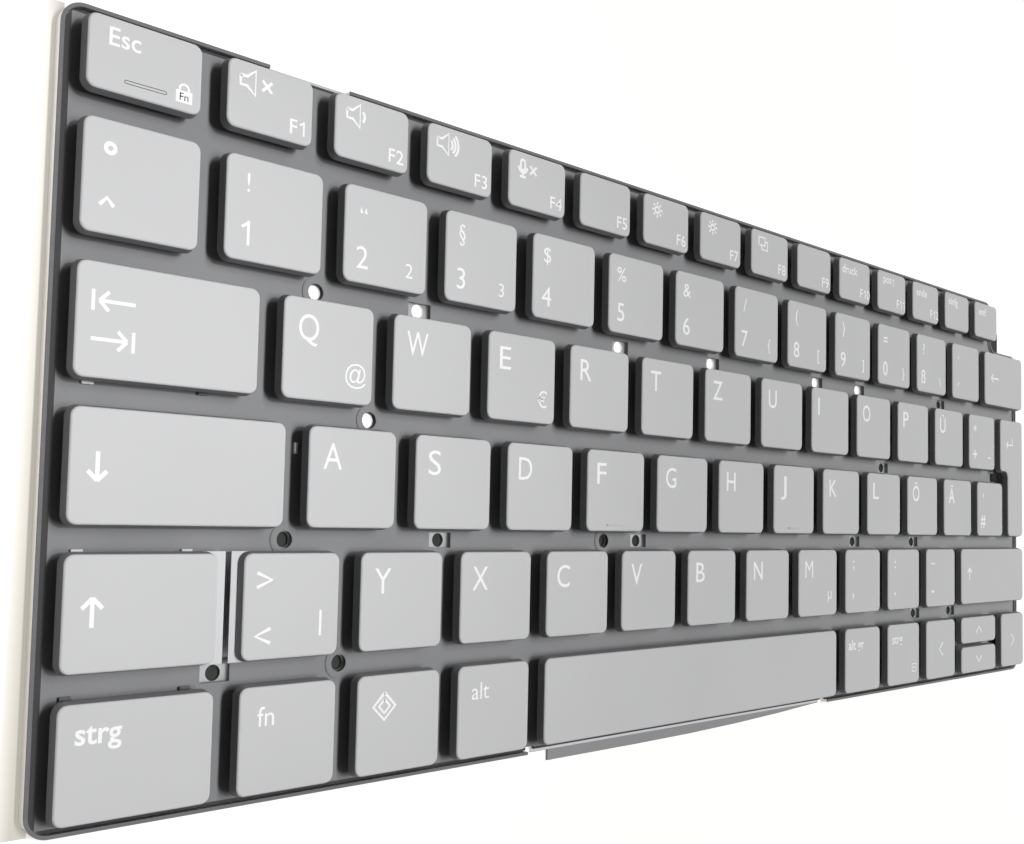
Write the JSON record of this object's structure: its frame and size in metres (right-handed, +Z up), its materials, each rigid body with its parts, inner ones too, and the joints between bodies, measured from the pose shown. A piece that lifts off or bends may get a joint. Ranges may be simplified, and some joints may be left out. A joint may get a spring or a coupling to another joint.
{
  "type": "laptop replacement keyboard",
  "caption": "Flat laptop keyboard in a thin metal tray: grey flat-topped keys in staggered rows, each on a scissor mechanism, with a wide space bar and a stepped Enter key.",
  "frame": {"origin": "middle of the bounding box, on the underside of the tray", "axes": "+X to the right along the rows, +Y from the space bar to the function row, +Z up out of the keys"},
  "size_m": [0.2764, 0.1054, 0.0047],
  "materials": {
    "steel_plate": "satin bare steel",
    "deck_film": "satin dark film",
    "cap_plastic": "fine matt paint with white legends",
    "lever_plastic": "plain moulded",
    "dome_rubber": "plain moulded",
    "wire_steel": "drawn wire"
  },
  "bodies": {
    "tray": {"base_plate": "steel_plate", "membrane_sheet": "deck_film", "rubber_domes": "dome_rubber", "scissor_levers": "lever_plastic", "stabiliser_wires": "wire_steel", "number_row_keys": "cap_plastic", "function_row_keys": "cap_plastic"},
    "escape": {"key_escape": "cap_plastic"},
    "backspace": {"key_backspace": "cap_plastic"},
    "tab": {"key_tab": "cap_plastic"},
    "q": {"key_q": "cap_plastic"},
    "w": {"key_w": "cap_plastic"},
    "e": {"key_e": "cap_plastic"},
    "r": {"key_r": "cap_plastic"},
    "t": {"key_t": "cap_plastic"},
    "z": {"key_z": "cap_plastic"},
    "u": {"key_u": "cap_plastic"},
    "i": {"key_i": "cap_plastic"},
    "o": {"key_o": "cap_plastic"},
    "p": {"key_p": "cap_plastic"},
    "u_umlaut": {"key_u_umlaut": "cap_plastic"},
    "plus": {"key_plus": "cap_plastic"},
    "enter": {"key_enter": "cap_plastic"},
    "caps_lock": {"key_caps_lock": "cap_plastic"},
    "a": {"key_a": "cap_plastic"},
    "s": {"key_s": "cap_plastic"},
    "d": {"key_d": "cap_plastic"},
    "f": {"key_f": "cap_plastic"},
    "g": {"key_g": "cap_plastic"},
    "h": {"key_h": "cap_plastic"},
    "j": {"key_j": "cap_plastic"},
    "k": {"key_k": "cap_plastic"},
    "l": {"key_l": "cap_plastic"},
    "o_umlaut": {"key_o_umlaut": "cap_plastic"},
    "a_umlaut": {"key_a_umlaut": "cap_plastic"},
    "hash": {"key_hash": "cap_plastic"},
    "shift_left": {"key_shift_left": "cap_plastic"},
    "angle_bracket": {"key_angle_bracket": "cap_plastic"},
    "y": {"key_y": "cap_plastic"},
    "x": {"key_x": "cap_plastic"},
    "c": {"key_c": "cap_plastic"},
    "v": {"key_v": "cap_plastic"},
    "b": {"key_b": "cap_plastic"},
    "n": {"key_n": "cap_plastic"},
    "m": {"key_m": "cap_plastic"},
    "comma": {"key_comma": "cap_plastic"},
    "full_stop": {"key_full_stop": "cap_plastic"},
    "hyphen": {"key_hyphen": "cap_plastic"},
    "shift_right": {"key_shift_right": "cap_plastic"},
    "control_left": {"key_control_left": "cap_plastic"},
    "function": {"key_function": "cap_plastic"},
    "system": {"key_system": "cap_plastic"},
    "alt": {"key_alt": "cap_plastic"},
    "space": {"key_space": "cap_plastic"},
    "alt_graph": {"key_alt_graph": "cap_plastic"},
    "control_right": {"key_control_right": "cap_plastic"},
    "arrow_left": {"key_arrow_left": "cap_plastic"},
    "arrow_up": {"key_arrow_up": "cap_plastic"},
    "arrow_down": {"key_arrow_down": "cap_plastic"},
    "arrow_right": {"key_arrow_right": "cap_plastic"}
  },
  "joints": [
    {"name": "escape_travel", "type": "slide", "parent": "tray", "child": "escape", "axis": [0, 0, -1], "range_m": [0, 0.0014], "stiffness_N_per_m": 400, "deforming": ["rubber_domes", "scissor_levers"]},
    {"name": "backspace_travel", "type": "slide", "parent": "tray", "child": "backspace", "axis": [0, 0, -1], "range_m": [0, 0.0014], "stiffness_N_per_m": 400, "deforming": ["rubber_domes", "scissor_levers", "stabiliser_wires"]},
    {"name": "tab_travel", "type": "slide", "parent": "tray", "child": "tab", "axis": [0, 0, -1], "range_m": [0, 0.0014], "stiffness_N_per_m": 400, "deforming": ["rubber_domes", "scissor_levers", "stabiliser_wires"]},
    {"name": "q_travel", "type": "slide", "parent": "tray", "child": "q", "axis": [0, 0, -1], "range_m": [0, 0.0014], "stiffness_N_per_m": 400, "deforming": ["rubber_domes", "scissor_levers"]},
    {"name": "w_travel", "type": "slide", "parent": "tray", "child": "w", "axis": [0, 0, -1], "range_m": [0, 0.0014], "stiffness_N_per_m": 400, "deforming": ["rubber_domes", "scissor_levers"]},
    {"name": "e_travel", "type": "slide", "parent": "tray", "child": "e", "axis": [0, 0, -1], "range_m": [0, 0.0014], "stiffness_N_per_m": 400, "deforming": ["rubber_domes", "scissor_levers"]},
    {"name": "r_travel", "type": "slide", "parent": "tray", "child": "r", "axis": [0, 0, -1], "range_m": [0, 0.0014], "stiffness_N_per_m": 400, "deforming": ["rubber_domes", "scissor_levers"]},
    {"name": "t_travel", "type": "slide", "parent": "tray", "child": "t", "axis": [0, 0, -1], "range_m": [0, 0.0014], "stiffness_N_per_m": 400, "deforming": ["rubber_domes", "scissor_levers"]},
    {"name": "z_travel", "type": "slide", "parent": "tray", "child": "z", "axis": [0, 0, -1], "range_m": [0, 0.0014], "stiffness_N_per_m": 400, "deforming": ["rubber_domes", "scissor_levers"]},
    {"name": "u_travel", "type": "slide", "parent": "tray", "child": "u", "axis": [0, 0, -1], "range_m": [0, 0.0014], "stiffness_N_per_m": 400, "deforming": ["rubber_domes", "scissor_levers"]},
    {"name": "i_travel", "type": "slide", "parent": "tray", "child": "i", "axis": [0, 0, -1], "range_m": [0, 0.0014], "stiffness_N_per_m": 400, "deforming": ["rubber_domes", "scissor_levers"]},
    {"name": "o_travel", "type": "slide", "parent": "tray", "child": "o", "axis": [0, 0, -1], "range_m": [0, 0.0014], "stiffness_N_per_m": 400, "deforming": ["rubber_domes", "scissor_levers"]},
    {"name": "p_travel", "type": "slide", "parent": "tray", "child": "p", "axis": [0, 0, -1], "range_m": [0, 0.0014], "stiffness_N_per_m": 400, "deforming": ["rubber_domes", "scissor_levers"]},
    {"name": "u_umlaut_travel", "type": "slide", "parent": "tray", "child": "u_umlaut", "axis": [0, 0, -1], "range_m": [0, 0.0014], "stiffness_N_per_m": 400, "deforming": ["rubber_domes", "scissor_levers"]},
    {"name": "plus_travel", "type": "slide", "parent": "tray", "child": "plus", "axis": [0, 0, -1], "range_m": [0, 0.0014], "stiffness_N_per_m": 400, "deforming": ["rubber_domes", "scissor_levers"]},
    {"name": "enter_travel", "type": "slide", "parent": "tray", "child": "enter", "axis": [0, 0, -1], "range_m": [0, 0.0014], "stiffness_N_per_m": 400, "deforming": ["rubber_domes", "scissor_levers", "stabiliser_wires"]},
    {"name": "caps_lock_travel", "type": "slide", "parent": "tray", "child": "caps_lock", "axis": [0, 0, -1], "range_m": [0, 0.0014], "stiffness_N_per_m": 400, "deforming": ["rubber_domes", "scissor_levers", "stabiliser_wires"]},
    {"name": "a_travel", "type": "slide", "parent": "tray", "child": "a", "axis": [0, 0, -1], "range_m": [0, 0.0014], "stiffness_N_per_m": 400, "deforming": ["rubber_domes", "scissor_levers"]},
    {"name": "s_travel", "type": "slide", "parent": "tray", "child": "s", "axis": [0, 0, -1], "range_m": [0, 0.0014], "stiffness_N_per_m": 400, "deforming": ["rubber_domes", "scissor_levers"]},
    {"name": "d_travel", "type": "slide", "parent": "tray", "child": "d", "axis": [0, 0, -1], "range_m": [0, 0.0014], "stiffness_N_per_m": 400, "deforming": ["rubber_domes", "scissor_levers"]},
    {"name": "f_travel", "type": "slide", "parent": "tray", "child": "f", "axis": [0, 0, -1], "range_m": [0, 0.0014], "stiffness_N_per_m": 400, "deforming": ["rubber_domes", "scissor_levers"]},
    {"name": "g_travel", "type": "slide", "parent": "tray", "child": "g", "axis": [0, 0, -1], "range_m": [0, 0.0014], "stiffness_N_per_m": 400, "deforming": ["rubber_domes", "scissor_levers"]},
    {"name": "h_travel", "type": "slide", "parent": "tray", "child": "h", "axis": [0, 0, -1], "range_m": [0, 0.0014], "stiffness_N_per_m": 400, "deforming": ["rubber_domes", "scissor_levers"]},
    {"name": "j_travel", "type": "slide", "parent": "tray", "child": "j", "axis": [0, 0, -1], "range_m": [0, 0.0014], "stiffness_N_per_m": 400, "deforming": ["rubber_domes", "scissor_levers"]},
    {"name": "k_travel", "type": "slide", "parent": "tray", "child": "k", "axis": [0, 0, -1], "range_m": [0, 0.0014], "stiffness_N_per_m": 400, "deforming": ["rubber_domes", "scissor_levers"]},
    {"name": "l_travel", "type": "slide", "parent": "tray", "child": "l", "axis": [0, 0, -1], "range_m": [0, 0.0014], "stiffness_N_per_m": 400, "deforming": ["rubber_domes", "scissor_levers"]},
    {"name": "o_umlaut_travel", "type": "slide", "parent": "tray", "child": "o_umlaut", "axis": [0, 0, -1], "range_m": [0, 0.0014], "stiffness_N_per_m": 400, "deforming": ["rubber_domes", "scissor_levers"]},
    {"name": "a_umlaut_travel", "type": "slide", "parent": "tray", "child": "a_umlaut", "axis": [0, 0, -1], "range_m": [0, 0.0014], "stiffness_N_per_m": 400, "deforming": ["rubber_domes", "scissor_levers"]},
    {"name": "hash_travel", "type": "slide", "parent": "tray", "child": "hash", "axis": [0, 0, -1], "range_m": [0, 0.0014], "stiffness_N_per_m": 400, "deforming": ["rubber_domes", "scissor_levers"]},
    {"name": "shift_left_travel", "type": "slide", "parent": "tray", "child": "shift_left", "axis": [0, 0, -1], "range_m": [0, 0.0014], "stiffness_N_per_m": 400, "deforming": ["rubber_domes", "scissor_levers"]},
    {"name": "angle_bracket_travel", "type": "slide", "parent": "tray", "child": "angle_bracket", "axis": [0, 0, -1], "range_m": [0, 0.0014], "stiffness_N_per_m": 400, "deforming": ["rubber_domes", "scissor_levers"]},
    {"name": "y_travel", "type": "slide", "parent": "tray", "child": "y", "axis": [0, 0, -1], "range_m": [0, 0.0014], "stiffness_N_per_m": 400, "deforming": ["rubber_domes", "scissor_levers"]},
    {"name": "x_travel", "type": "slide", "parent": "tray", "child": "x", "axis": [0, 0, -1], "range_m": [0, 0.0014], "stiffness_N_per_m": 400, "deforming": ["rubber_domes", "scissor_levers"]},
    {"name": "c_travel", "type": "slide", "parent": "tray", "child": "c", "axis": [0, 0, -1], "range_m": [0, 0.0014], "stiffness_N_per_m": 400, "deforming": ["rubber_domes", "scissor_levers"]},
    {"name": "v_travel", "type": "slide", "parent": "tray", "child": "v", "axis": [0, 0, -1], "range_m": [0, 0.0014], "stiffness_N_per_m": 400, "deforming": ["rubber_domes", "scissor_levers"]},
    {"name": "b_travel", "type": "slide", "parent": "tray", "child": "b", "axis": [0, 0, -1], "range_m": [0, 0.0014], "stiffness_N_per_m": 400, "deforming": ["rubber_domes", "scissor_levers"]},
    {"name": "n_travel", "type": "slide", "parent": "tray", "child": "n", "axis": [0, 0, -1], "range_m": [0, 0.0014], "stiffness_N_per_m": 400, "deforming": ["rubber_domes", "scissor_levers"]},
    {"name": "m_travel", "type": "slide", "parent": "tray", "child": "m", "axis": [0, 0, -1], "range_m": [0, 0.0014], "stiffness_N_per_m": 400, "deforming": ["rubber_domes", "scissor_levers"]},
    {"name": "comma_travel", "type": "slide", "parent": "tray", "child": "comma", "axis": [0, 0, -1], "range_m": [0, 0.0014], "stiffness_N_per_m": 400, "deforming": ["rubber_domes", "scissor_levers"]},
    {"name": "full_stop_travel", "type": "slide", "parent": "tray", "child": "full_stop", "axis": [0, 0, -1], "range_m": [0, 0.0014], "stiffness_N_per_m": 400, "deforming": ["rubber_domes", "scissor_levers"]},
    {"name": "hyphen_travel", "type": "slide", "parent": "tray", "child": "hyphen", "axis": [0, 0, -1], "range_m": [0, 0.0014], "stiffness_N_per_m": 400, "deforming": ["rubber_domes", "scissor_levers"]},
    {"name": "shift_right_travel", "type": "slide", "parent": "tray", "child": "shift_right", "axis": [0, 0, -1], "range_m": [0, 0.0014], "stiffness_N_per_m": 400, "deforming": ["rubber_domes", "scissor_levers", "stabiliser_wires"]},
    {"name": "control_left_travel", "type": "slide", "parent": "tray", "child": "control_left", "axis": [0, 0, -1], "range_m": [0, 0.0014], "stiffness_N_per_m": 400, "deforming": ["rubber_domes", "scissor_levers"]},
    {"name": "function_travel", "type": "slide", "parent": "tray", "child": "function", "axis": [0, 0, -1], "range_m": [0, 0.0014], "stiffness_N_per_m": 400, "deforming": ["rubber_domes", "scissor_levers"]},
    {"name": "system_travel", "type": "slide", "parent": "tray", "child": "system", "axis": [0, 0, -1], "range_m": [0, 0.0014], "stiffness_N_per_m": 400, "deforming": ["rubber_domes", "scissor_levers"]},
    {"name": "alt_travel", "type": "slide", "parent": "tray", "child": "alt", "axis": [0, 0, -1], "range_m": [0, 0.0014], "stiffness_N_per_m": 400, "deforming": ["rubber_domes", "scissor_levers"]},
    {"name": "space_travel", "type": "slide", "parent": "tray", "child": "space", "axis": [0, 0, -1], "range_m": [0, 0.0014], "stiffness_N_per_m": 400, "deforming": ["rubber_domes", "scissor_levers", "stabiliser_wires"]},
    {"name": "alt_graph_travel", "type": "slide", "parent": "tray", "child": "alt_graph", "axis": [0, 0, -1], "range_m": [0, 0.0014], "stiffness_N_per_m": 400, "deforming": ["rubber_domes", "scissor_levers"]},
    {"name": "control_right_travel", "type": "slide", "parent": "tray", "child": "control_right", "axis": [0, 0, -1], "range_m": [0, 0.0014], "stiffness_N_per_m": 400, "deforming": ["rubber_domes", "scissor_levers"]},
    {"name": "arrow_left_travel", "type": "slide", "parent": "tray", "child": "arrow_left", "axis": [0, 0, -1], "range_m": [0, 0.0014], "stiffness_N_per_m": 400, "deforming": ["rubber_domes", "scissor_levers"]},
    {"name": "arrow_up_travel", "type": "slide", "parent": "tray", "child": "arrow_up", "axis": [0, 0, -1], "range_m": [0, 0.0014], "stiffness_N_per_m": 400, "deforming": ["rubber_domes", "scissor_levers"]},
    {"name": "arrow_down_travel", "type": "slide", "parent": "tray", "child": "arrow_down", "axis": [0, 0, -1], "range_m": [0, 0.0014], "stiffness_N_per_m": 400, "deforming": ["rubber_domes", "scissor_levers"]},
    {"name": "arrow_right_travel", "type": "slide", "parent": "tray", "child": "arrow_right", "axis": [0, 0, -1], "range_m": [0, 0.0014], "stiffness_N_per_m": 400, "deforming": ["rubber_domes", "scissor_levers"]}
  ]
}
